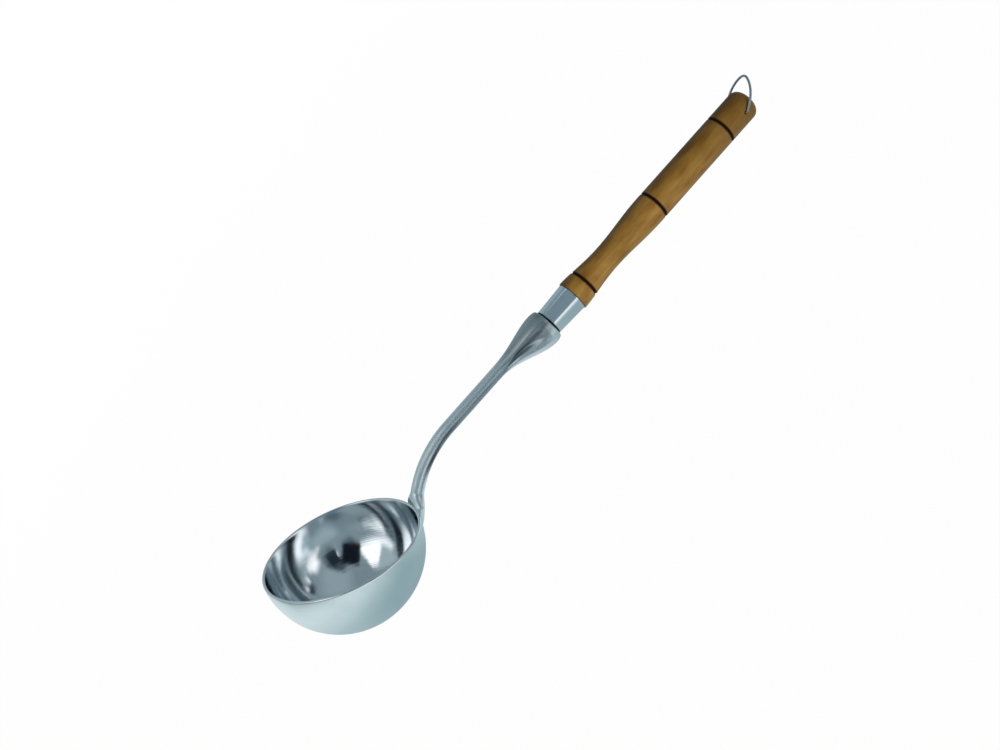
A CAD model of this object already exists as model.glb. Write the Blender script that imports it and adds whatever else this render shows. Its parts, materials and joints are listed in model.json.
"""Soup ladle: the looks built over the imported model.

The ladle lies on a pale floor, on the belly of its bowl and on the end of its grip. Each class
keeps its sizes in millimetres, in the frame in which the part is drawn: the middle of the rim is
the origin, +X points to the handle and +Z out of the bowl. The handle's own frame starts at the
collar's face, with +Z along the handle. Meshes are written in metres, lying as the part lies.
"""

import enum
import json
import logging
from collections.abc import Callable, Iterable, Mapping, Sequence
from dataclasses import dataclass
from math import atan2, cos, degrees, hypot, pi, radians, sin, sqrt
from types import SimpleNamespace

import bpy
from mathutils import Matrix, Vector

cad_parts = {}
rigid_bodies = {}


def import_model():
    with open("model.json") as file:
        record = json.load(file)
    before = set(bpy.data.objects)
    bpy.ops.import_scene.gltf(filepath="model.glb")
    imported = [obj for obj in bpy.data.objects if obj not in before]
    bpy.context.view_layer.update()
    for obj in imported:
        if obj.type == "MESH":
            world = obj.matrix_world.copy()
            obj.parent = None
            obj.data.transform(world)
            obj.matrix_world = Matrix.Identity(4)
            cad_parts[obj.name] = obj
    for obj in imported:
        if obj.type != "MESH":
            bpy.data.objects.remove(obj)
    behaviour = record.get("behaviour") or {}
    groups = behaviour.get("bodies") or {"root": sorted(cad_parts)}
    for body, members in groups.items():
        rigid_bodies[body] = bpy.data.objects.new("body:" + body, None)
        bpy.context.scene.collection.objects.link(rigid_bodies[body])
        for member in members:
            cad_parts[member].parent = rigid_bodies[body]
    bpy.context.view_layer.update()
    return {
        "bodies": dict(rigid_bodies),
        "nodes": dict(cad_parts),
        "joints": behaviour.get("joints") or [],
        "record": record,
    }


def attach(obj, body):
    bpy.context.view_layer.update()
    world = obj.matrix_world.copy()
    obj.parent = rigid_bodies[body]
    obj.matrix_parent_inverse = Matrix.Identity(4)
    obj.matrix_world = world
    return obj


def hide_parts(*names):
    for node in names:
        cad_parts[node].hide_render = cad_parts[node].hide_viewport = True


LOG = logging.getLogger("ladle")
MM = 0.001
PRINCIPLED = "BSDF_PRINCIPLED"

Point = tuple[float, float, float]
Flat = tuple[float, float]
Colour = tuple[float, float, float]
Settings = Mapping[str, object]
Feeds = Mapping[str | int, object]
Piece = bpy.types.Object
Node = bpy.types.Node
Material = bpy.types.Material


class Body(enum.Enum):
    """The bodies that move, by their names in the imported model."""

    LADLE = "ladle"
    LOOP = "hanging_loop"


def linear(red: int, green: int, blue: int) -> Colour:
    """Scene-linear colour of a screen colour given in steps of 0 to 255."""
    shares = (red / 255, green / 255, blue / 255)
    return tuple(s / 12.92 if s <= 0.04045 else ((s + 0.055) / 1.055) ** 2.4 for s in shares)


def held(share: float) -> float:
    """A number kept between 0 and 1."""
    return min(1.0, max(0.0, share))


def mix(first: float, second: float, share: float) -> float:
    """A number between two, by a share from 0 to 1."""
    return first + (second - first) * share


def ease(share: float) -> float:
    """Smooth step from 0 to 1."""
    kept = held(share)
    return kept * kept * (3 - 2 * kept)


def ramp(at: float, start: float, run: float) -> float:
    """Smooth step that starts at one place and takes a run to reach 1."""
    return ease((at - start) / run)


def bell(share: float) -> float:
    """Smooth bell, 1 in its middle and 0 from -1 and 1 outwards."""
    return 0.0 if abs(share) >= 1 else cos(pi / 2 * share) ** 2


def spaced(start: float, end: float, steps: int) -> list[float]:
    """Evenly spaced numbers from start to end, both kept."""
    return [start + (end - start) * step / steps for step in range(steps + 1)]


def round_angles(sides: int) -> list[float]:
    """Angles of the steps once round, in radians."""
    return spaced(0.0, 2 * pi, sides)[:-1]


def arc(centre: Flat, radius: float, start: float, end: float, steps: int) -> list[Flat]:
    """Points of a round stretch.

    Args:
        centre: Middle of the round.
        radius: Its radius.
        start: First angle in degrees.
        end: Last angle in degrees.
        steps: Number of steps between them.

    Returns:
        The steps + 1 points of the stretch.
    """
    angles = [radians(angle) for angle in spaced(start, end, steps)]
    return [(centre[0] + radius * cos(angle), centre[1] + radius * sin(angle))
            for angle in angles]


@dataclass(frozen=True)
class Lie:
    """How the ladle lies, and where its handle starts."""

    lean: float = 29.2266
    middle: float = 163.465
    lift: float = 50.0
    rise: float = 23.5
    face: Flat = (168.545, 69.6044)

    def upright(self) -> Matrix:
        """Matrix from the upright ladle's frame, in millimetres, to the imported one."""
        turn = Matrix.Rotation(radians(self.lean), 4, "Y")
        place = Matrix.Translation((-self.middle * MM, 0, self.lift * MM))
        return place @ turn @ Matrix.Scale(MM, 4)

    def handle(self) -> Matrix:
        """Matrix from the handle's frame, in millimetres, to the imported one."""
        turn = Matrix.Rotation(radians(90 - self.rise), 4, "Y")
        return self.upright() @ Matrix.Translation((self.face[0], 0, self.face[1])) @ turn


LIE = Lie()


def operation(name: str, swapped: bool = False) -> Callable[["Signal", object], "Signal"]:
    """Makes the method for one of Python's operators; swapped puts the other term first."""

    def run(signal: "Signal", other: "Signal | float") -> "Signal":
        return signal.board.maths(name, *((other, signal) if swapped else (signal, other)))

    return run


@dataclass(frozen=True, eq=False)
class Signal:
    """A socket's value, on which Python's arithmetic adds Math nodes."""

    board: "Board"
    socket: bpy.types.NodeSocket

    __add__ = operation("ADD")
    __radd__ = operation("ADD", swapped=True)
    __sub__ = operation("SUBTRACT")
    __rsub__ = operation("SUBTRACT", swapped=True)
    __mul__ = operation("MULTIPLY")
    __rmul__ = operation("MULTIPLY", swapped=True)
    __truediv__ = operation("DIVIDE")
    __pow__ = operation("POWER")

    def __neg__(self) -> "Signal":
        """The value with its sign turned."""
        return self * -1.0

    def __abs__(self) -> "Signal":
        """Size without its sign."""
        return self.board.maths("ABSOLUTE", self)

    def held(self) -> "Signal":
        """The value kept between 0 and 1."""
        return self.board.maths("ADD", self, 0.0, clamp=True)

    def past(self, start: float, run: float) -> "Signal":
        """0 up to a start and 1 from a run past it; a run below 0 goes the other way."""
        return ((self - start) / run).held()

    def floored(self) -> "Signal":
        """The value, or 0 where it is below 0."""
        return self.board.maths("MAXIMUM", self, 0.0)

    def root(self) -> "Signal":
        """Square root of the value, or of 0 where it is below 0."""
        return self.board.maths("SQRT", self.floored())

    def cosine(self) -> "Signal":
        """Cosine of an angle in radians."""
        return self.board.maths("COSINE", self)

    def degrees_over(self, other: "Signal") -> "Signal":
        """Angle in degrees whose tangent is this value over another."""
        return self.board.maths("DEGREES", self.board.maths("ARCTAN2", self, other))


@dataclass(frozen=True, eq=False)
class Board:
    """A node tree that is wired from Python."""

    tree: bpy.types.NodeTree

    def own(self, kind: str) -> Node:
        """The node of a kind that the tree came with."""
        return next(node for node in self.tree.nodes if node.type == kind)

    def node(self, kind: str, feeds: Feeds | None = None, settings: Settings | None = None) -> Node:
        """Adds one node.

        Args:
            kind: The node's type.
            feeds: A value or a Signal for each input, by name or by place.
            settings: What is set on the node itself, first.

        Returns:
            The new node.
        """
        made = self.tree.nodes.new(kind)
        for name, value in (settings or {}).items():
            setattr(made, name, value)
        self.feed(made, feeds or {})
        return made

    def feed(self, node: Node, feeds: Feeds) -> None:
        """Sets or links a node's inputs, by name or by place."""
        for key, value in feeds.items():
            if isinstance(value, Signal):
                self.tree.links.new(value.socket, node.inputs[key])
            else:
                node.inputs[key].default_value = value

    def read(self, kind: str, feeds: Feeds | None = None, settings: Settings | None = None,
             output: str | int = 0) -> Signal:
        """Adds one node and returns one of its outputs as a Signal."""
        return Signal(self, self.node(kind, feeds, settings).outputs[output])

    def rays(self, *names: str) -> list[Signal]:
        """What the Light Path node says of a ray."""
        path = self.node("ShaderNodeLightPath")
        return [Signal(self, path.outputs[name]) for name in names]

    def maths(self, name: str, *terms: Signal | float, clamp: bool = False) -> Signal:
        """Adds a Math node on its terms."""
        settings = {"operation": name, "use_clamp": clamp}
        return self.read("ShaderNodeMath", dict(enumerate(terms)), settings)

    def vector(self, x: Signal | float, y: Signal | float, z: Signal | float) -> Signal:
        """Joins three values to a vector."""
        return self.read("ShaderNodeCombineXYZ", {0: x, 1: y, 2: z})

    def parts(self, vector: Signal) -> list[Signal]:
        """The three values of a vector."""
        split = self.node("ShaderNodeSeparateXYZ", {0: vector})
        return [Signal(self, output) for output in split.outputs]

    def blend(self, share: Signal | float, first: object, second: object) -> Signal:
        """Colour between two colours, by a share from 0 to 1."""
        feeds = {0: share, 6: self._rgba(first), 7: self._rgba(second)}
        return self.read("ShaderNodeMix", feeds, {"data_type": "RGBA"}, output=2)

    @staticmethod
    def _rgba(colour: object) -> object:
        """A colour with its fourth number, or the Signal itself."""
        return colour if isinstance(colour, Signal) else (*colour, 1.0)

    def glow(self, colour: Signal | Colour) -> Signal:
        """Shader that gives off a colour."""
        return self.read("ShaderNodeEmission", {"Color": self._rgba(colour), "Strength": 1.0})

    def between(self, share: Signal, first: Signal, second: Signal) -> Signal:
        """Shader between two shaders, by a share from 0 to 1."""
        return self.read("ShaderNodeMixShader", {0: share, 1: first, 2: second})

    def noise(self, vector: Signal, scale: float, detail: float = 2.0,
              roughness: float = 0.5) -> Signal:
        """Noise from about 0 to 1 on a vector."""
        feeds = {"Vector": vector, "Scale": scale, "Detail": detail, "Roughness": roughness}
        return self.read("ShaderNodeTexNoise", feeds, {"noise_dimensions": "3D"}, output="Fac")

    def grain(self, place: Sequence[Signal], across: float, along: float, detail: float = 2.0,
              roughness: float = 0.5) -> Signal:
        """Noise with its own steps per unit across the grain and along it, which is z."""
        x, y, z = place
        spot = self.vector(x * across, y * across, z * along)
        return self.noise(spot, 1.0, detail, roughness)

    def bumped(self, height: Signal, strength: float, depth: float) -> Signal:
        """Normal of a surface with a fine relief; its depth is in millimetres."""
        feeds = {"Strength": strength, "Distance": depth * MM, "Height": height}
        return self.read("ShaderNodeBump", feeds)

    def own_place(self, frame: Matrix) -> Signal:
        """Place on the piece in a frame of its own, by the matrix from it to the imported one."""
        inverse = frame.inverted()
        place = self.read("ShaderNodeTexCoord", output="Object")
        return self.read("ShaderNodeMapping", {"Vector": place, **moves(inverse, "Location")},
                         {"vector_type": "POINT"})


def moves(matrix: Matrix, place: str = "Translation") -> Feeds:
    """What a node that moves things gets for a matrix; place is its name for the shift."""
    return {place: matrix.to_translation(), "Rotation": matrix.to_euler(),
            "Scale": matrix.to_scale()}


def new_material(name: str) -> tuple[Material, Board]:
    """Starts a material and returns it with its board."""
    material = bpy.data.materials.new(name)
    material.use_nodes = True
    return material, Board(material.node_tree)


@dataclass(frozen=True)
class Finish:
    """A surface finish of the ladle, by what it feeds to the Principled shader."""

    name: str

    def sockets(self, board: Board) -> dict[str, object]:
        """What each of the shader's sockets gets."""
        raise NotImplementedError

    def material(self) -> Material:
        """Makes the material."""
        material, board = new_material(self.name)
        board.feed(board.own(PRINCIPLED), self.sockets(board))
        return material


@dataclass(frozen=True)
class SpunMetal(Finish):
    """Metal that was spun on a lathe: fine rings round its axis draw lights out into streaks."""

    colour: Colour
    dull: Colour
    roughness: float
    spread: float
    rings_per_mm: float
    rings_depth: float
    frame: Matrix
    round_r: float = 0.0
    sooty_to: float = -1000.0
    soot: Colour = linear(30, 38, 44)
    smear_from: float = 0.45
    smear_gain: float = 2.4
    smear_share: float = 0.6

    def sockets(self, board: Board) -> dict[str, object]:
        """Spun rings, with duller smears over them and soot in the open joint."""
        place = board.own_place(self.frame)
        x, y, z = board.parts(place)
        run = z
        if self.round_r:
            run = board.maths("ARCTAN2", (x * x + y * y).root(), -z) * self.round_r
        rings = board.grain((x, y, run), across=0.02, along=self.rings_per_mm, roughness=0.6)
        smears = board.noise(place, 0.06, detail=4.0, roughness=0.55)
        dulled = ((smears - self.smear_from) * self.smear_gain).held() * self.smear_share
        soot = ((self.sooty_to - z) * 4.0).held()
        return {
            "Metallic": 1.0,
            "Base Color": board.blend(soot, board.blend(dulled, self.colour, self.dull), self.soot),
            "Roughness": self.roughness + self.spread * (rings - 0.5) + self.spread * dulled,
            "Normal": board.bumped(rings, 1.0, self.rings_depth),
        }


@dataclass(frozen=True)
class CastPolish(Finish):
    """Polished cast metal, darker and duller where the wheel didn't reach."""

    colour: Colour = linear(234, 243, 245)
    hollow: Colour = linear(27, 43, 57)
    roughness: float = 0.36
    grime_rough: float = 0.08
    ripple_rough: float = 0.06

    def sockets(self, board: Board) -> dict[str, object]:
        """Grime in the hollows, and faint ripples along the arm."""
        depth, along, around = (
            board.read("ShaderNodeAttribute", None, {"attribute_name": layer}, output="Fac")
            for layer in Arm.LAYERS)
        ripple = board.noise(board.vector(along * 0.06, around * 9.0, 0.0), 1.0, detail=1.0)
        swell = board.noise(board.own_place(LIE.upright()), 0.07, detail=1.0)
        grime = (depth * (0.7 + 0.3 * swell)).held()
        ripples = self.ripple_rough * (ripple - 0.5)
        return {
            "Metallic": 1.0,
            "Base Color": board.blend(grime, self.colour, self.hollow),
            "Roughness": self.roughness + self.grime_rough * grime + ripples,
            "Normal": board.bumped(swell, 0.3, 0.1),
        }


@dataclass(frozen=True)
class DrawnSteel(Finish):
    """Plain steel wire or rod, grey and a little scuffed."""

    colour: Colour = linear(184, 190, 194)
    roughness: float = 0.3
    scuffed: float = 0.55

    def sockets(self, board: Board) -> dict[str, object]:
        """Scuffs that are darker and rougher."""
        scuffs = board.noise(board.own_place(LIE.handle()), 0.9, detail=5.0, roughness=0.65)
        dark = tuple(self.scuffed * part for part in self.colour)
        return {
            "Metallic": 1.0,
            "Base Color": board.blend((scuffs * 1.6 - 0.5).held(), self.colour, dark),
            "Roughness": self.roughness + 0.2 * (scuffs - 0.5),
            "Normal": board.bumped(scuffs, 0.3, 0.03),
        }


@dataclass(frozen=True)
class TurnedWood(Finish):
    """Varnished light wood with its grain along the handle and burnt rings round it."""

    rings: tuple[float, ...]
    end: float
    light: Colour = linear(172, 133, 62)
    dark: Colour = linear(122, 82, 22)
    pore: Colour = linear(92, 54, 14)
    aged: Colour = linear(96, 66, 18)
    burnt: Colour = linear(22, 9, 3)
    ring_half: float = 1.7
    burn_gain: float = 1.6
    aged_run: float = 120.0
    aged_share: float = 0.85
    pore_share: float = 0.3
    varnish: float = 0.22

    def sockets(self, board: Board) -> dict[str, object]:
        """Bands, blotches, fibres and pores, darker with age and burnt in the rings."""
        place = board.parts(board.own_place(LIE.handle()))
        x, y, z = place
        slow = board.grain(place, across=0.09, along=0.02)
        bands = board.noise(board.vector(x * 0.3 + slow * 2.0, y * 0.2, z * 0.02), 1.0,
                            detail=3.0, roughness=0.55)
        blotch = board.grain(place, across=0.11, along=0.055)
        fibre = board.grain(place, across=2.2, along=0.07, detail=3.0, roughness=0.6)
        pores = ((board.grain(place, across=5.5, along=0.22, detail=1.0) - 0.62) * 7.0).held()
        grain = (bands * 1.2 + blotch * 1.9 - 1.1 + (fibre - 0.5) * 0.35).held()
        colour = board.blend(grain, self.light, self.dark)
        colour = board.blend(pores * self.pore_share, colour, self.pore)
        aged = z.past(self.end - self.aged_run, self.aged_run)
        colour = board.blend(aged * aged * self.aged_share, colour, self.aged)
        burn = self._burn(board, z)
        return {
            "Base Color": board.blend(burn, colour, self.burnt),
            "Roughness": 0.4 + 0.1 * fibre + 0.15 * pores + 0.3 * burn,
            "Specular IOR Level": 0.25,
            "Normal": board.bumped(fibre * 0.5 - pores * 0.5, 0.25, 0.05),
            "Coat Weight": self.varnish * (1 - burn),
            "Coat Roughness": 0.28,
            "Coat IOR": 1.45,
        }

    def _burn(self, board: Board, z: Signal) -> Signal:
        """Share of burnt colour along the handle."""
        gain = self.burn_gain
        shares = [(gain - abs(z - ring) / self.ring_half * gain).held() for ring in self.rings]
        burn = shares[0]
        for share in shares[1:]:
            burn = board.maths("MAXIMUM", burn, share)
        return burn


def wired(name: str, surface: Callable[[Board], Signal]) -> Material:
    """Makes a material from a function that builds its shader on its board."""
    material, board = new_material(name)
    board.feed(board.own("OUTPUT_MATERIAL"), {0: surface(board)})
    shader = board.own(PRINCIPLED)
    if not shader.outputs[0].is_linked:
        board.tree.nodes.remove(shader)
    return material


@dataclass(frozen=True)
class PaleFloor:
    """Floor that shows white to the camera and keeps a soft shadow round the ladle.

    Metal shows it white from a little way off and greyer close to the ladle. A pair is a start
    and a run in metres, and a row of beneath has the shade that follows as well.
    """

    albedo: float = 0.84
    roughness: float = 0.9
    sheen: float = 0.1
    shown: float = 0.985
    bounce: float = 0.45
    fade: Flat = (0.3, 0.9)
    under_bowl: Colour = linear(212, 224, 226)
    beneath: tuple[tuple[float, float, Colour], ...] = (
        (-0.25, 0.08, linear(172, 190, 195)),
        (-0.13, 0.02, linear(206, 219, 223)),
        (-0.01, 0.04, linear(156, 174, 178)),
    )
    open_white: Colour = linear(252, 254, 255)
    before_arm: Colour = linear(96, 116, 127)
    back_grey: Colour = linear(140, 156, 161)
    half_run: float = 0.17
    clean: Flat = (0.055, 0.09)
    arm_starts: Flat = (-0.115, 0.03)
    arm_ends: Flat = (0.02, -0.03)
    front: Flat = (-0.005, -0.03)
    back: Flat = (0.02, 0.08)
    back_starts: Flat = (-0.24, 0.06)

    def surface(self, board: Board) -> Signal:
        """White to the camera, plain in its light and shaded to metal."""
        shader = board.own(PRINCIPLED)
        board.feed(shader, {
            "Base Color": (self.albedo, self.albedo, self.albedo, 1.0),
            "Roughness": self.roughness,
            "Specular IOR Level": self.sheen,
        })
        x, y, _ = board.parts(board.read("ShaderNodeTexCoord", output="Object"))
        away = (x * x + y * y).root().past(*self.fade)
        camera, clear, metal, bounced = board.rays(
            "Is Camera Ray", "Is Transmission Ray", "Is Glossy Ray", "Is Diffuse Ray")
        share = (camera + clear) * (self.shown + (1 - self.shown) * away) + bounced * self.bounce
        plain = board.between(share.held(), Signal(board, shader.outputs[0]),
                              board.glow((1.0, 1.0, 1.0)))
        return board.between(metal, plain, board.glow(self._mirrored(board, x, y)))

    def _mirrored(self, board: Board, x: Signal, y: Signal) -> Signal:
        """Shade that metal shows at a place on the floor."""
        past = (abs(x) - self.half_run).floored()
        clean = (past * past + y * y).root().past(*self.clean)
        under = self.under_bowl
        for start, run, shade in self.beneath:
            under = board.blend(x.past(start, run), under, shade)
        shade = board.blend(clean, under, self.open_white)
        before = x.past(*self.arm_starts) * x.past(*self.arm_ends) * y.past(*self.front)
        shade = board.blend(before, shade, self.before_arm)
        behind = y.past(*self.back) * x.past(*self.back_starts)
        return board.blend(behind, shade, self.back_grey)


def in_scene(name: str, data: bpy.types.ID, place: Matrix = Matrix.Identity(4)) -> Piece:
    """Makes an object of a mesh, a lamp or a camera and links it to the scene."""
    made = bpy.data.objects.new(name, data)
    made.matrix_world = place
    bpy.context.scene.collection.objects.link(made)
    return made


def object_of(name: str, points: Iterable[Point], faces: Iterable[Sequence[int]], place: Matrix,
              edges: Iterable[Sequence[int]] = ()) -> Piece:
    """Makes a smooth mesh object at the origin.

    Args:
        name: The object's name.
        points: Points in one of the ladle's own frames.
        faces: Faces on those points, against the clock seen from outside.
        place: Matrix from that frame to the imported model's.
        edges: Edges of a line that has no faces.

    Returns:
        The object.
    """
    mesh = bpy.data.meshes.new(name)
    mesh.from_pydata([place @ Vector(point) for point in points], list(edges), list(faces))
    mesh.shade_smooth()
    return in_scene(name, mesh)


def sheet(name: str, half_wide: float, half_high: float, place: Matrix) -> Piece:
    """Makes a flat four-cornered piece, in metres."""
    corners = [(x * half_wide, y * half_high, 0.0) for x, y in ((-1, -1), (1, -1), (1, 1), (-1, 1))]
    return object_of(name, corners, [[0, 1, 2, 3]], place)


def turned(name: str, outline: Sequence[Flat], sides: int, place: Matrix,
           slots: Sequence[int] = ()) -> Piece:
    """Turns an outline round its own z axis.

    Args:
        name: The object's name.
        outline: Points (radius, z), which run with the metal on their left. Points on the axis
            close the shape; otherwise the outline closes on itself.
        sides: Number of steps round the axis.
        place: Matrix from the outline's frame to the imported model's.
        slots: Slot of the stretch after each point, where it has more than one.

    Returns:
        The object.
    """
    points: list[Point] = []
    rows: list[list[int]] = []
    for radius, z in outline:
        count = sides if radius else 1
        rows.append([len(points) + side % count for side in range(sides)])
        points += [(radius * cos(turn), radius * sin(turn), z) for turn in round_angles(count)]
    pairs = list(zip(rows, rows[1:] + rows[:1]))
    faces: list[list[int]] = []
    for low, high in pairs if outline[0][0] else pairs[:-1]:
        for side in range(sides):
            ahead = (side + 1) % sides
            faces.append(list(dict.fromkeys((low[side], low[ahead], high[ahead], high[side]))))
    made = object_of(name, points, faces, place)
    if slots:
        kinds = [slot for slot in slots for _ in range(sides)]
        made.data.polygons.foreach_set("material_index", kinds)
    return made


class Recipe:
    """A Geometry Nodes tree with named inputs, from one line of points to a finished skin."""

    SHARP = 0.7

    def __init__(self, name: str, sizes: Mapping[str, float]) -> None:
        """Starts the tree, with an input for the line, for each size and for the material."""
        self.tree = bpy.data.node_groups.new(name, "GeometryNodeTree")
        self.board = Board(self.tree)
        self.sizes = sizes
        kinds = {"line": "Geometry", **dict.fromkeys(sizes, "Float"), "material": "Material"}
        for title, kind in kinds.items():
            self.tree.interface.new_socket(title, in_out="INPUT", socket_type=f"NodeSocket{kind}")
        self.tree.interface.new_socket("skin", in_out="OUTPUT", socket_type="NodeSocketGeometry")
        start = self.board.node("NodeGroupInput")
        self.size = SimpleNamespace(
            **{title: Signal(self.board, start.outputs[title]) for title in kinds})

    def swept(self, sides: int, radius: Signal | float, **more: Signal) -> Signal:
        """Sweeps a round wire or rod along the line, with closed ends."""
        profile = self.board.read("GeometryNodeCurvePrimitiveCircle",
                                  {"Resolution": sides, "Radius": radius})
        line = self.board.read("GeometryNodeMeshToCurve", {0: self.size.line})
        return self.board.read("GeometryNodeCurveToMesh", {
            "Curve": line, "Profile Curve": profile, "Fill Caps": True, **more})

    def finish(self, skin: Signal, place: Matrix) -> None:
        """Lays the skin by a matrix, smooths it, gives it its material and closes the tree."""
        board = self.board
        lain = board.read("GeometryNodeTransform", {0: skin, **moves(place)})
        angle = board.read("GeometryNodeInputMeshEdgeAngle", output="Unsigned Angle")
        sharp = board.read("FunctionNodeCompare", {"A": angle, "B": self.SHARP},
                           {"operation": "GREATER_THAN"})
        smooth = board.read("GeometryNodeSetShadeSmooth", {0: lain, "Shade Smooth": True},
                            {"domain": "FACE"})
        edged = board.read("GeometryNodeSetShadeSmooth",
                           {0: smooth, "Selection": sharp, "Shade Smooth": False},
                           {"domain": "EDGE"})
        solid = board.read("GeometryNodeRealizeInstances", {0: edged})
        dressed = board.read("GeometryNodeSetMaterial",
                             {0: solid, "Material": self.size.material})
        board.feed(board.node("NodeGroupOutput"), {0: dressed})

    def grow(self, name: str, points: Sequence[Point], material: Material) -> Piece:
        """Runs the tree on a line of points and keeps the plain mesh that comes out.

        Args:
            name: The object's name.
            points: The line's points, in the tree's own frame.
            material: What the skin is made of.

        Returns:
            The object.
        """
        edges = [(at, at + 1) for at in range(len(points) - 1)]
        carrier = object_of(name, points, [], Matrix.Identity(4), edges)
        modifier = carrier.modifiers.new("shape", "NODES")
        modifier.node_group = self.tree
        inputs = {**self.sizes, "material": material}
        for item in self.tree.interface.items_tree:
            if item.name in inputs:
                modifier[item.identifier] = inputs[item.name]
        graph = bpy.context.evaluated_depsgraph_get()
        mesh = bpy.data.meshes.new_from_object(carrier.evaluated_get(graph), depsgraph=graph)
        carrier.modifiers.remove(modifier)
        carrier.data = mesh
        return carrier


def settle(piece: Piece, body: Body, slot: str, node: str, *finishes: Finish) -> Piece:
    """Dresses a piece and says what it rides on, its slot and the node that it stands for."""
    for finish in finishes:
        piece.data.materials.append(finish.material())
    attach(piece, body.value)
    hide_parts(node)
    LOG.info("%s: %d faces on %s", piece.name, len(piece.data.polygons), body.value)
    return piece


@dataclass
class Bowl:
    """The round bowl: mirror inside, satin outside, with a bright rim and a flat foot."""

    rim_d: float = 99.95
    wall: float = 1.8
    foot_d: float = 35.0
    foot_round: float = 10.0
    sides: int = 288
    belly_steps: int = 72
    lip_steps: int = 14
    foot_steps: int = 10

    def __post_init__(self) -> None:
        """Works out the depth of the foot's rounding and the height of its flat face."""
        self.drop = sqrt((self.rim_d / 2 - self.foot_round) ** 2 - (self.foot_d / 2) ** 2)
        self.floor_z = -self.drop - self.foot_round

    def stretches(self) -> tuple[list[Flat], list[Flat], list[Flat]]:
        """Outline from the foot's middle up the outside, then over the lip, then back inside."""
        rim_r, foot_r, lip = self.rim_d / 2, self.foot_d / 2, self.wall / 2
        corner, centre = (foot_r, -self.drop), (0.0, 0.0)
        meets = degrees(atan2(-self.drop, foot_r))
        floor, inner_floor = self.floor_z, self.floor_z + self.wall
        outside = [(0.0, floor), (foot_r / 2, floor)]
        outside += arc(corner, self.foot_round, -90, meets, self.foot_steps)
        outside += arc(centre, rim_r, meets, 0, self.belly_steps)[1:]
        over = arc((rim_r - lip, 0.0), lip, 0, 180, self.lip_steps)[1:]
        inside = arc(centre, rim_r - self.wall, 0, meets, self.belly_steps)[1:]
        inside += arc(corner, self.foot_round - self.wall, meets, -90, self.foot_steps)[1:]
        return outside, over, inside + [(foot_r / 2, inner_floor), (0.0, inner_floor)]

    def finishes(self) -> list[SpunMetal]:
        """The finishes of the inside, the outside and the lip, in the order of the slots."""
        rows = (
            ("bowl_mirror", linear(240, 244, 246), linear(226, 233, 236), 0.08, 0.04, 1.3, 0.04),
            ("bowl_satin", linear(206, 223, 226), linear(192, 211, 213), 0.32, 0.1, 1.3, 0.03),
            ("bowl_rim", linear(244, 247, 248), linear(228, 234, 238), 0.14, 0.06, 1.3, 0.004),
        )
        return [SpunMetal(*row, LIE.upright(), self.rim_d / 2) for row in rows]

    def build(self) -> Piece:
        """Makes the bowl."""
        outside, over, inside = self.stretches()
        mirror, satin, rim = range(3)
        slots = [satin] * (len(outside) - 1) + [rim] * len(over) + [mirror] * len(inside)
        bowl = turned("bowl_shell", outside + over + inside, self.sides, LIE.upright(), slots)
        return settle(bowl, Body.LADLE, "bowl_metal", "bowl", *self.finishes())


@dataclass(frozen=True)
class Wheel:
    """Where the polishing wheel didn't reach on the arm.

    Turns and halves are degrees round the arm, and a scallop's line is in shares of its spread.
    Starts, shifts, fades and ends are a start and a run along the arm, in mm.
    """

    band_turn: float = 112.0
    band_shift: float = 6.0
    band_half: float = 38.0
    band_gain: float = 1.2
    band_shifts: Flat = (60.0, 12.0)
    band_starts: Flat = (42.0, 16.0)
    band_least: float = 0.05
    band_fades: Flat = (76.0, 14.0)
    band_fade: float = 0.6
    boot_run: float = 6.0
    crest: float = 0.4
    crest_turn: float = 40.0
    crest_half: float = 17.0
    crest_starts: Flat = (38.0, 8.0)
    crest_ends: Flat = (68.0, 8.0)
    cheek: float = 0.5
    cheek_to: float = 104.0
    cheek_soft: float = 30.0
    scallop_lines: Flat = (0.2, -0.45)
    scallop_share: float = 0.55
    scallop_fade: float = 0.2


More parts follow.
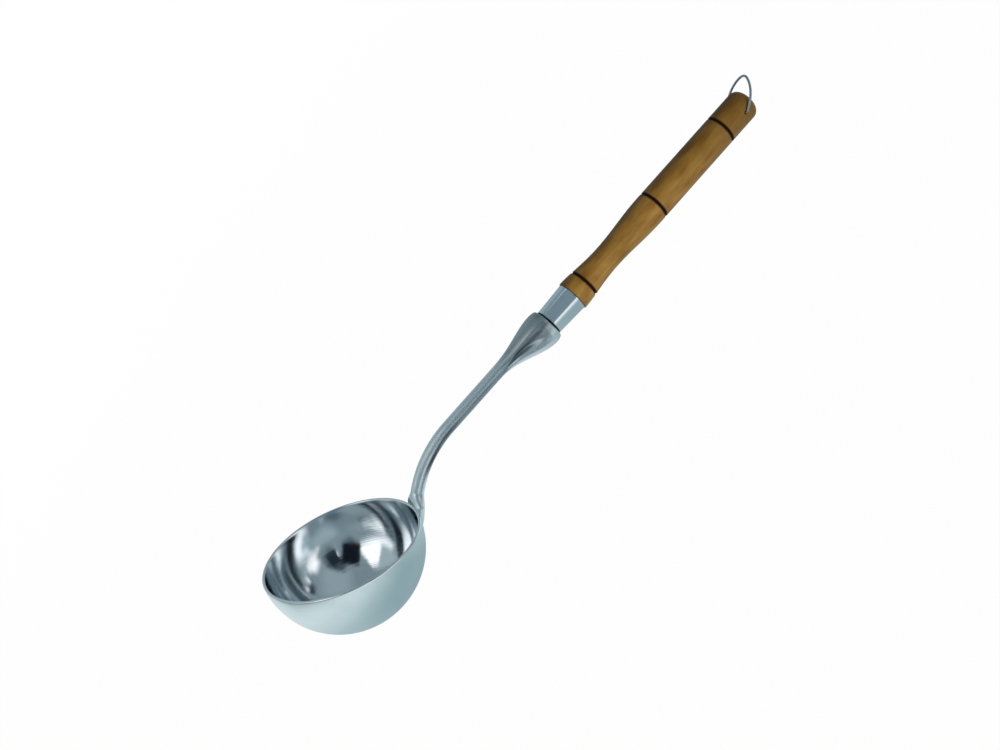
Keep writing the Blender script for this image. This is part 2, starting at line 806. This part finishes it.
@dataclass
class Arm:
    """The cast arm: tongue and boot on the bowl, fluted bend and neck, scalloped collar."""

    rim_d: float = 100.0
    root_step: float = 0.3
    root_angle: float = 67.5
    tongue_len: float = 24.0
    root_straight: float = 1.0
    boot_width: float = 20.0
    boot_height: float = 3.0
    boot_flare: float = 8.0
    bend_radius: float = 70.5
    handle_rise: float = 23.5
    neck_len: float = 42.0
    thick: float = 8.3
    width: float = 8.0
    offset: float = 3.8
    flute_depth: float = 1.1
    flare_len: float = 44.5
    collar_d: float = 23.2
    lip_round: float = 4.7
    scallop_depth: float = 4.2
    spigot_len: float = 5.0
    spigot_r: float = 8.05
    tongue_tip: float = 0.45
    flare_gather: float = 1.2
    scallop_gather: float = 1.6
    flute_run_out: float = 8.0
    flute_at_root: float = 96.0
    flute_at_arm: float = 116.0
    flute_at_collar: float = 76.0
    flute_turn_run: float = 35.0
    flute_spread: float = 20.0
    scallop_spread: float = 38.0
    face_share: float = 0.88
    wall_middle: float = 49.1
    edge: float = 0.02
    sides: int = 128
    lip_steps: int = 14
    wheel: Wheel = Wheel()

    LAYERS = ("hollow", "along", "around")

    def __post_init__(self) -> None:
        """Works out the places along the arm's path."""
        self.bend_at = self.tongue_len + self.root_straight
        self.boot_end = self.tongue_len + self.boot_height + self.boot_flare
        bent = radians(self.root_angle - self.handle_rise)
        self.neck_at = self.bend_at + self.bend_radius * bent
        self.flare_at = self.neck_at + self.neck_len
        self.face_at = self.flare_at + self.flare_len
        self.lip_at = self.face_at - self.lip_round

    def heading(self, at: float) -> float:
        """Direction of the path, in degrees over the plane of the rim."""
        turn = degrees((at - self.bend_at) / self.bend_radius)
        return self.root_angle - min(self.root_angle - self.handle_rise, max(0.0, turn))

    def path(self, at: float) -> Flat:
        """Middle of the arm at a distance along its path, as (x, z)."""
        first, now = radians(self.root_angle), radians(self.heading(at))
        run = min(at, self.bend_at) - self.tongue_len
        beyond = max(0.0, at - self.neck_at)
        radius = self.bend_radius
        return (
            self.rim_d / 2 + self.root_step + run * cos(first)
            + radius * (sin(first) - sin(now)) + beyond * cos(now),
            run * sin(first)
            + radius * (cos(now) - cos(first)) + beyond * sin(now),
        )

    def flared(self, at: float) -> float:
        """How far the flare has gone: 0 on the arm and 1 at the lip."""
        return held((at - self.flare_at) / (self.lip_at - self.flare_at))

    def half_size(self, at: float, size: float) -> float:
        """Half of the arm's size at a distance, for one of its two sizes."""
        plain = size / 2 * mix(self.tongue_tip, 1, ease(at / self.tongue_len))
        opened = ease(self.flared(at) ** self.flare_gather)
        past = held((at - self.lip_at) / self.lip_round)
        share = mix(self.face_share, 1, sqrt(1 - past * past))
        return mix(plain, self.collar_d / 2, opened) * share

    def flute(self, at: float) -> float:
        """Depth of the flute or scallop at a distance."""
        run_out = ramp(at, self.tongue_len + self.boot_height, self.flute_run_out)
        scallop = sin(pi * self.flared(at) ** self.scallop_gather)
        return self.flute_depth * run_out + (self.scallop_depth - self.flute_depth) * scallop

    def ring(self, at: float) -> tuple[list[Point], list[float]]:
        """One ring of points round the arm.

        Args:
            at: Distance along the path.

        Returns:
            The points, and how dull the polish is at each, from 0 to 1.
        """
        opened = self.flared(at)
        wide = mix(self.width, self.boot_width, ease((self.boot_end - at) / self.boot_flare))
        first, second = self.half_size(at, self.thick), self.half_size(at, wide)
        turned_to = ramp(at, self.boot_end, self.flute_turn_run)
        side = mix(self.flute_at_root, self.flute_at_arm, turned_to)
        side = mix(side, self.flute_at_collar, ease(opened * 2))
        spread = mix(self.flute_spread, self.scallop_spread, ease(opened))
        up = radians(self.heading(at) + 90)
        rise = radians(self.handle_rise)
        drop = self.offset * ramp(at, self.flare_at, self.flare_len)
        middle = self.path(at)
        centre = (middle[0] + drop * sin(rise), middle[1] - drop * cos(rise))
        points: list[Point] = []
        dulls: list[float] = []
        for angle in round_angles(self.sides):
            turn = degrees(min(angle, 2 * pi - angle))
            plain = first * second / hypot(second * cos(angle), first * sin(angle))
            radius = plain - self.flute(at) * bell((turn - side) / spread)
            height = radius * cos(angle)
            points.append(self.clear_of_bowl((
                centre[0] + height * cos(up),
                radius * sin(angle),
                centre[1] + height * sin(up),
            )))
            dulls.append(self.dullness(at, turn, side, spread))
        return points, dulls

    def dullness(self, at: float, turn: float, side: float, spread: float) -> float:
        """How dull and dark the polish is at a place on the arm.

        Args:
            at: Distance along the path.
            turn: Degrees round the arm, from its top.
            side: Where the middle of the flute lies, in the same degrees.
            spread: Half of the flute's width.

        Returns:
            0 where the arm is bright and 1 where the wheel never reached.
        """
        wheel, opened = self.wheel, self.flared(at)
        collar = ease(opened * 4)
        middle = wheel.band_turn - wheel.band_shift * ramp(at, *wheel.band_shifts)
        band = min(1.0, wheel.band_gain * bell((turn - middle) / wheel.band_half))
        band *= mix(wheel.band_least, 1, ramp(at, *wheel.band_starts))
        band *= 1 - wheel.band_fade * ramp(at, *wheel.band_fades)
        band *= ramp(at, self.boot_end, wheel.boot_run) * (1 - collar)
        crest = wheel.crest * bell((turn - wheel.crest_turn) / wheel.crest_half)
        crest *= ramp(at, *wheel.crest_starts) * (1 - ramp(at, *wheel.crest_ends))
        cheek = wheel.cheek * ease(opened * 2.5) * ease((wheel.cheek_to - turn) / wheel.cheek_soft)
        line = side + spread * mix(*wheel.scallop_lines, ease(opened * 2))
        scallop = bell((turn - line) / (spread * wheel.scallop_share))
        scallop *= (1 - wheel.scallop_fade * ease(opened)) * collar
        return max(scallop, cheek, band, crest)

    def clear_of_bowl(self, point: Point) -> Point:
        """Moves a point that lies inside the bowl out to the middle of the bowl's wall."""
        x, y, z = point
        below = z <= 0
        reach = hypot(x, y, z if below else 0.0)
        if reach >= (self.rim_d / 2 if below else self.wall_middle):
            return point
        grow = self.wall_middle / reach
        return (x * grow, y * grow, z * grow if below else z)

    def stations(self) -> list[float]:
        """Distances along the path at which the skin has its rings."""
        stretches = (
            (0.0, self.boot_end, 96),
            (self.boot_end, self.neck_at, 60),
            (self.neck_at, self.flare_at, 40),
            (self.flare_at, self.lip_at, 84),
        )
        places = [at for start, end, steps in stretches for at in spaced(start, end, steps)[:-1]]
        return places + [self.lip_at + self.lip_round * sin(turn)
                         for turn in spaced(0.0, pi / 2, self.lip_steps)]

    def face_ring(self, radius: float, out: float) -> list[Point]:
        """A ring round the handle's axis, at a distance out of the collar's face."""
        to_own = LIE.upright().inverted() @ LIE.handle()
        return [tuple(to_own @ Vector((-radius * cos(angle), radius * sin(angle), out)))
                for angle in round_angles(self.sides)]

    def build(self) -> Piece:
        """Makes the arm."""
        sides = self.sides
        rings = [(*self.ring(at), at) for at in self.stations()]
        rings += [(self.face_ring(self.spigot_r, out), [1.0] * sides, self.face_at)
                  for out in (0.0, self.edge, self.spigot_len)]
        faces: list[list[int]] = [list(range(sides - 1, -1, -1))]
        for low in range(0, (len(rings) - 1) * sides, sides):
            for step in range(sides):
                ahead = low + (step + 1) % sides
                faces.append([low + step, ahead, ahead + sides, low + step + sides])
        faces.append([(len(rings) - 1) * sides + step for step in range(sides)])
        points = [point for ring, _, _ in rings for point in ring]
        arm = object_of("arm_casting", points, faces, LIE.upright())
        values = (
            [dull for _, dulls, _ in rings for dull in dulls],
            [at for _, _, at in rings for _ in range(sides)],
            [min(step, sides - step) / sides for step in range(sides)] * len(rings),
        )
        for name, layer in zip(self.LAYERS, values):
            arm.data.attributes.new(name, "FLOAT", "POINT").data.foreach_set("value", layer)
        return settle(arm, Body.LADLE, "arm_metal", "arm", CastPolish("cast_polish"))


@dataclass
class Ferrule:
    """The metal tube between the collar and the wood, with softened edges."""

    start: float = 0.4
    length: float = 22.2
    near_d: float = 17.8
    far_d: float = 19.8
    wall: float = 0.8
    edge: float = 0.45
    sides: int = 160
    soot_run: float = 1.0

    def outline(self) -> list[Flat]:
        """Outline of the wall, up the outside and back down the bore."""
        near, far, edge = self.near_d / 2, self.far_d / 2, self.edge
        end = self.start + self.length
        slope = (far - near) / self.length
        low = arc((near - edge, self.start + edge), edge, -90, 0, 4)[:-1]
        outer = [(near + slope * (z - self.start), z)
                 for z in spaced(self.start + edge, end - edge, 16)]
        high = arc((far - edge, end - edge), edge, 0, 90, 4)[1:]
        return low + outer + high + [(far - self.wall, end), (near - self.wall, self.start)]

    def build(self) -> Piece:
        """Makes the ferrule."""
        ferrule = turned("ferrule_tube", self.outline(), self.sides, LIE.handle())
        finish = SpunMetal("ferrule_polish", linear(228, 239, 243), linear(204, 218, 224), 0.13,
                           0.06, 1.6, 0.004, LIE.handle(), sooty_to=self.start + self.soot_run)
        return settle(ferrule, Body.LADLE, "ferrule_metal", "ferrule", finish)


@dataclass
class Grip:
    """The turned wooden grip: cove and waist, long barrel, three burnt rings, rounded end."""

    tenon_at: float = 6.0
    tenon_r: float = 8.2
    shoulder_at: float = 22.65
    length: float = 164.0
    barrel_d: float = 20.66
    shoulder_d: float = 21.3
    waist_d: float = 16.6
    waist_run: float = 32.0
    barrel_run: float = 71.0
    end_round: float = 5.0
    shoulder_edge: float = 0.5
    ring_w: float = 1.8
    ring_depth: float = 0.6
    ring_1_at: float = 10.5
    ring_2_at: float = 4.5
    ring_3_from_end: float = 25.5
    cove_gather: float = 0.85
    pivot_from_end: float = 9.4
    hole_r: float = 0.8
    hole_sides: int = 32
    countersink: float = 0.8
    sides: int = 144
    fine_steps: int = 16
    fine_reach: int = 11
    coarse_step: float = 1.6
    ring_clear: float = 1.3

    TREE_SIZES = (
        "shoulder_at", "shoulder_d", "shoulder_edge", "waist_run", "waist_d", "barrel_run",
        "barrel_d", "cove_gather", "end", "end_round", "tenon_r", "ring_w", "ring_depth", "hole_at")

    def __post_init__(self) -> None:
        """Works out the places of the end, the cross hole and the burnt rings."""
        self.end = self.shoulder_at + self.length
        self.hole_at = self.end - self.pivot_from_end
        self.rings = (self.shoulder_at + self.ring_1_at,
                      self.shoulder_at + self.barrel_run + self.ring_2_at,
                      self.end - self.ring_3_from_end)

    def stations(self) -> list[float]:
        """Places along the handle at which the skin has its rings, close where it curves most."""
        end_at = self.end - self.end_round
        start = self.shoulder_at + self.shoulder_edge
        places = [self.tenon_at, self.shoulder_at - 0.02]
        places += [self.shoulder_at + self.shoulder_edge * (1 - cos(turn))
                   for turn in spaced(0.0, pi / 2, 6)[:-1]]
        fine = {round(ring + self.ring_w * step / self.fine_steps, 4)
                for ring in self.rings for step in range(-self.fine_reach, self.fine_reach + 1)}
        steps = int((self.length - self.end_round) / self.coarse_step) + 1
        coarse = {start + self.coarse_step * step for step in range(steps)}
        near = {at for at in coarse
                if at < end_at and all(abs(at - ring) > self.ring_clear for ring in self.rings)}
        return places + sorted(fine | near) + [
            end_at + self.end_round * sin(turn) for turn in spaced(0.0, pi / 2, 16)]

    def recipe(self) -> Recipe:
        """The tree that turns the wood: a radius rule on a line, and the cross hole."""
        sizes = {name: getattr(self, name) for name in self.TREE_SIZES}
        titles = [f"ring_{count}" for count in (1, 2, 3)]
        recipe = Recipe("turned_grip", {**sizes, **dict(zip(titles, self.rings))})
        board, size = recipe.board, recipe.size
        z = board.parts(board.read("GeometryNodeInputPosition"))[2]
        out = z - size.shoulder_at
        cove = (out / size.waist_run).held() ** size.cove_gather
        swell = ((out - size.waist_run) / (size.barrel_run - size.waist_run)).held()
        radius = (
            (size.shoulder_d + size.waist_d) / 4
            + (size.shoulder_d - size.waist_d) * (cove * pi).cosine() / 4
            + (size.barrel_d - size.waist_d) * (1 - (swell * pi).cosine()) / 4
        )
        radius = radius - self._rounding(z - size.end + size.end_round, size.end_round)
        radius = radius - self._rounding(size.shoulder_edge - out, size.shoulder_edge)
        for title in titles:
            off = (1 - abs(z - getattr(size, title)) / (size.ring_w / 2)).held()
            radius = radius - size.ring_depth * off * (2 - off)
        turned_part = board.maths("GREATER_THAN", out, -0.001)
        radius = radius * turned_part + size.tenon_r * (1 - turned_part)
        wood = recipe.swept(self.sides, 1.0, Scale=radius)
        drilled = board.read("GeometryNodeMeshBoolean",
                             {"Mesh 1": wood, "Mesh 2": self._drill(board, size.hole_at)},
                             {"operation": "DIFFERENCE", "solver": "EXACT"})
        recipe.finish(drilled, LIE.handle())
        return recipe

    @staticmethod
    def _rounding(inward: Signal, size: Signal) -> Signal:
        """What a rounded edge takes off the radius, at a distance inward along the edge."""
        kept = inward.floored()
        return size - (size * size - kept * kept).root()

    def _drill(self, board: Board, hole_at: Signal) -> Signal:
        """The cross hole with its two widened mouths, as one cutter."""
        barrel_r, sink = self.barrel_d / 2, self.countersink
        hole = board.read("GeometryNodeMeshCylinder", {
            "Vertices": self.hole_sides, "Radius": self.hole_r, "Depth": 2 * (barrel_r + 2)})
        mouth = board.read("GeometryNodeMeshCone", {
            "Vertices": self.hole_sides, "Radius Top": self.hole_r,
            "Radius Bottom": self.hole_r + 2 * sink, "Depth": 2 * sink})
        union = board.node("GeometryNodeMeshBoolean", None,
                           {"operation": "UNION", "solver": "EXACT"})
        reach = barrel_r + sink
        for cutter, across, turn in ((hole, 0.0, 1), (mouth, -reach, -1), (mouth, reach, 1)):
            laid = board.read("GeometryNodeTransform", {
                0: cutter, "Translation": board.vector(0.0, across, hole_at),
                "Rotation": (turn * pi / 2, 0.0, 0.0)})
            board.feed(union, {"Mesh 2": laid})
        return Signal(board, union.outputs[0])

    def build(self) -> Piece:
        """Makes the grip."""
        wood = TurnedWood("turned_wood", self.rings, self.end).material()
        line = [(0.0, 0.0, at) for at in self.stations()]
        grip = self.recipe().grow("grip_wood", line, wood)
        return settle(grip, Body.LADLE, "grip_wood", "grip")


@dataclass
class HangingLoop:
    """The wire loop that swings on the end of the grip."""

    wire_d: float = 1.49
    barrel_r: float = 10.35
    gap: float = 0.305
    reach: float = 21.7
    crown_r: float = 6.0
    shoulder_r: float = 18.0
    bend: float = 2.0
    hold: float = 6.0
    swing: float = 36.0
    pivot: float = 177.25
    sides: int = 24

    def path(self) -> list[Point]:
        """Middle line of the wire, from one end in the cross hole to the other."""
        half = self.barrel_r + self.gap + self.wire_d / 2
        rise = sqrt((self.shoulder_r - self.crown_r) ** 2 - (self.shoulder_r - half) ** 2)
        turn = degrees(atan2(rise, self.shoulder_r - half))
        crown = self.reach - self.crown_r
        leg_end = crown - rise
        foot = half - self.bend
        one = [(y, 0.0) for y in spaced(self.barrel_r - self.hold, foot, 6)[:-1]]
        one += arc((foot, self.bend), self.bend, -90, 0, 14)
        one += [(half, z) for z in spaced(self.bend, leg_end, 6)[1:-1]]
        one += arc((half - self.shoulder_r, leg_end), self.shoulder_r, 0, turn, 40)
        top = arc((0.0, crown), self.crown_r, turn, 180 - turn, 28)[1:-1]
        other = [(-y, z) for y, z in reversed(one)]
        return [(0.0, y, z) for y, z in one + top + other]

    def place(self) -> Matrix:
        """Matrix from the loop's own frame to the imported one."""
        swung = Matrix.Rotation(radians(-self.swing), 4, "Y")
        return LIE.handle() @ Matrix.Translation((0, 0, self.pivot)) @ swung

    def build(self) -> Piece:
        """Makes the loop."""
        recipe = Recipe("drawn_wire", {"wire_r": self.wire_d / 2})
        recipe.finish(recipe.swept(self.sides, recipe.size.wire_r), self.place())
        steel = DrawnSteel("loop_wire_steel").material()
        loop = recipe.grow("loop_wire", self.path(), steel)
        return settle(loop, Body.LOOP, "loop_wire", "hang_loop")


@dataclass
class TangStud:
    """The hidden steel stud, which stays as it was packed and gets its steel."""

    node: str = "tang_stud"

    def dress(self, nodes: Mapping[str, Piece]) -> Piece:
        """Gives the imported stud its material."""
        stud = nodes[self.node]
        steel = DrawnSteel("stud_steel_grey", roughness=0.38).material()
        for slot in stud.material_slots:
            slot.material = steel
        LOG.info("%s: packed solid, dressed", self.node)
        return stud


def facing(centre: Point, azimuth: float, elevation: float, distance: float) -> Matrix:
    """Matrix of a place, in degrees round and up from a centre, with +Z away from it."""
    flat, up = radians(azimuth), radians(elevation)
    away = Vector((cos(flat) * cos(up), sin(flat) * cos(up), sin(up)))
    turn = away.to_track_quat("Z", "Y").to_matrix().to_4x4()
    return Matrix.Translation(Vector(centre) + away * distance) @ turn


def stage_for_metal(piece: Piece, material: Material) -> Piece:
    """Puts a piece on the stage that only metal and varnish show."""
    piece.data.materials.append(material)
    for ray in ("camera", "diffuse", "shadow", "transmission"):
        setattr(piece, f"visible_{ray}", False)
    return piece


@dataclass(frozen=True)
class Patch:
    """A soft-edged panel or dark block on the tent, by its middle and half sizes in degrees."""

    azimuth: float
    elevation: float
    half_wide: float
    half_high: float
    soft: float
    shade: Colour


@dataclass(frozen=True)
class Tent:
    """Round tent of soft panels that only metal and varnish show."""

    radius: float = 3.0
    low: Colour = linear(126, 144, 152)
    high: Colour = linear(120, 137, 146)
    high_at: float = 80.0

    @staticmethod
    def patches() -> list[Patch]:
        """The panels and blocks, from the widest to the ones that lie over them."""
        white = (1.15, 1.18, 1.21)
        pale = linear(205, 220, 226)
        haze = linear(158, 175, 181)
        grey = linear(142, 158, 165)
        slate = linear(86, 101, 111)
        shade = linear(64, 78, 89)
        ink = linear(40, 52, 62)
        return [
            Patch(112.0, 32.0, 42.0, 26.0, 22.0, haze),
            Patch(-148.0, 64.0, 44.0, 18.0, 11.0, white),
            Patch(172.0, 68.0, 28.0, 14.0, 8.0, haze),
            Patch(170.0, 42.0, 12.0, 7.0, 6.0, pale),
            Patch(-22.0, 38.0, 28.0, 20.0, 14.0, grey),
            Patch(-64.0, 18.0, 13.0, 8.0, 7.0, slate),
            Patch(-54.0, 34.0, 9.0, 14.0, 7.0, shade),
            Patch(-98.0, 33.0, 12.0, 7.0, 8.0, slate),
            Patch(-41.0, 0.0, 10.0, 8.0, 9.0, white),
            Patch(-3.0, 0.0, 9.0, 8.0, 6.0, ink),
            Patch(30.0, 50.0, 18.0, 13.0, 10.0, slate),
            Patch(38.0, 71.0, 14.0, 3.0, 3.0, pale),
        ]

    def surface(self, board: Board) -> Signal:
        """The tent's glow, patch over patch."""
        x, y, z = board.parts(board.read("ShaderNodeTexCoord", output="Object"))
        height = z.degrees_over((x * x + y * y).root())
        colour = board.blend(height.past(0.0, self.high_at), self.low, self.high)
        for patch in self.patches():
            turn = radians(patch.azimuth)
            ahead = x * cos(turn) + y * sin(turn)
            beside = y * cos(turn) - x * sin(turn)
            share = self._inside(beside.degrees_over(ahead), patch.half_wide, patch.soft)
            share = share * self._inside(height - patch.elevation, patch.half_high, patch.soft)
            colour = board.blend(share, colour, patch.shade)
        return board.glow(colour)

    @staticmethod
    def _inside(off: Signal, half: float, soft: float) -> Signal:
        """1 inside half a size and 0 outside it, with a soft edge across the limit."""
        return ((half - abs(off)) / soft + 0.5).held()

    def build(self) -> Piece:
        """Pitches the tent."""
        outline = arc((0.0, 0.0), self.radius, -20, 90, 40)[:-1] + [(0.0, self.radius)] * 2
        tent = turned("tent", outline, 96, Matrix.Identity(4))
        return stage_for_metal(tent, wired("tent", self.surface))


@dataclass(frozen=True)
class Card:
    """A soft-edged card near the bowl, which only metal shows, to rays longer than seen_from."""

    name: str
    azimuth: float
    elevation: float
    distance: float
    half_wide: float
    half_high: float
    soft: float
    shade: Colour
    roll: float = 0.0
    seen_from: float = 0.0
    fade: float = 0.01
    centre: Point = (-0.163, 0.0, 0.05)

    def place(self) -> Matrix:
        """Where the card stands, facing the bowl."""
        turn = Matrix.Rotation(radians(self.roll), 4, "Z")
        return facing(self.centre, self.azimuth, self.elevation, self.distance) @ turn

    def surface(self, board: Board) -> Signal:
        """The card's shade, which thins out to nothing at its edges."""
        wide, high, _ = board.parts(board.own_place(self.place()))
        share = abs(wide).past(self.half_wide, -self.soft)
        share = share * abs(high).past(self.half_high, -self.soft)
        run, = board.rays("Ray Length")
        share = share * run.past(self.seen_from - self.fade, self.fade)
        clear = board.read("ShaderNodeBsdfTransparent")
        return board.between(share, clear, board.glow(self.shade))

    def build(self) -> Piece:
        """Stands the card up."""
        card = sheet(self.name, self.half_wide, self.half_high, self.place())
        return stage_for_metal(card, wired(self.name, self.surface))


class Lamp(enum.Enum):
    """The studio's lamps: azimuth, elevation, distance, width, height, watts."""

    KEY = (-112.0, 20.0, 1.1, 0.8, 0.4, 1.5)
    FRONT = (-80.0, 3.0, 1.1, 1.2, 0.3, 6.0)
    RIGHT = (-38.0, 8.0, 1.2, 0.6, 0.4, 4.0)
    TOP = (80.0, 75.0, 1.4, 1.2, 1.2, 0.25)


@dataclass
class Studio:
    """The floor, the lamps, the tent, the cards and the camera."""

    middle: Point = (0.0, 0.0, 0.04)
    camera_at: Point = (-0.046225, -0.596495, 0.361011)
    camera_right: Point = (0.59616, -0.40245, -0.69471)
    camera_down: Point = (-0.80225, -0.2646, -0.53515)
    camera_ahead: Point = (0.03155, 0.87637, -0.48061)
    lens: float = 40.625
    sensor: float = 36.0
    floor_half: float = 6.0
    fill: Colour = (0.06, 0.06, 0.06)
    bowl_only: float = 0.235

    def build(self) -> None:
        """Sets the stage."""
        floor = sheet("floor", self.floor_half, self.floor_half, Matrix.Identity(4))
        floor.data.materials.append(wired("pale_floor", PaleFloor().surface))
        self._world()
        for lamp in Lamp:
            self._lamp(lamp)
        Tent().build()
        for card in self.cards():
            card.build()
        self._camera()
        bpy.context.scene.view_settings.view_transform = "Standard"

    def cards(self) -> list[Card]:
        """Two dark cards that only the bowl shows, and the bright line and glint before them."""
        return [
            Card("card_black", -80.0, 45.0, 0.2, 0.068, 0.058, 0.008, linear(16, 22, 30), 28.0,
                 self.bowl_only),
            Card("card_side", -57.0, 24.0, 0.2, 0.038, 0.046, 0.01, linear(30, 40, 49), -28.0,
                 self.bowl_only),
            Card("card_line", -76.0, 17.0, 0.196, 0.0016, 0.036, 0.0012, linear(158, 168, 174),
                 -37.0),
            Card("card_glint", -67.5, 26.0, 0.192, 0.003, 0.012, 0.0016, (1.5, 1.55, 1.6), -37.0),
        ]

    def _world(self) -> None:
        """White background, and a cooler dimmer fill on what isn't metal."""
        world = bpy.data.worlds.new("studio")
        bpy.context.scene.world = world
        world.use_nodes = True
        board = Board(world.node_tree)
        camera, metal, clear = board.rays("Is Camera Ray", "Is Glossy Ray", "Is Transmission Ray")
        seen = (camera + metal + clear).held()
        colour = board.blend(seen, self.fill, (1.0, 1.0, 1.0))
        board.feed(board.own("BACKGROUND"), {"Color": colour, "Strength": 1.0})

    def _lamp(self, lamp: Lamp) -> None:
        """Hangs one soft lamp."""
        azimuth, elevation, distance, width, height, watts = lamp.value
        data = bpy.data.lights.new(lamp.name.lower(), "AREA")
        data.shape = "RECTANGLE"
        data.size, data.size_y = width, height
        data.energy = watts
        made = in_scene(data.name, data, facing(self.middle, azimuth, elevation, distance))
        made.visible_glossy = False

    def _camera(self) -> None:
        """Puts the camera where the photograph was taken from."""
        data = bpy.data.cameras.new("camera")
        data.lens = self.lens
        data.sensor_width = self.sensor
        data.sensor_fit = "HORIZONTAL"
        data.clip_start = 0.01
        axes = (Vector(self.camera_right), -Vector(self.camera_down), -Vector(self.camera_ahead))
        turn = Matrix(axes).transposed().to_4x4()
        place = Matrix.Translation(self.camera_at) @ turn
        bpy.context.scene.camera = in_scene("camera", data, place)


def main() -> None:
    """Loads the frame, builds every piece over it and notes both sizes."""
    logging.basicConfig(level=logging.INFO, format="%(name)s: %(message)s")
    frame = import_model()
    Studio().build()
    Bowl().build()
    Arm().build()
    Ferrule().build()
    TangStud().dress(frame["nodes"])
    Grip().build()
    HangingLoop().build()


if __name__ == "__main__":
    main()
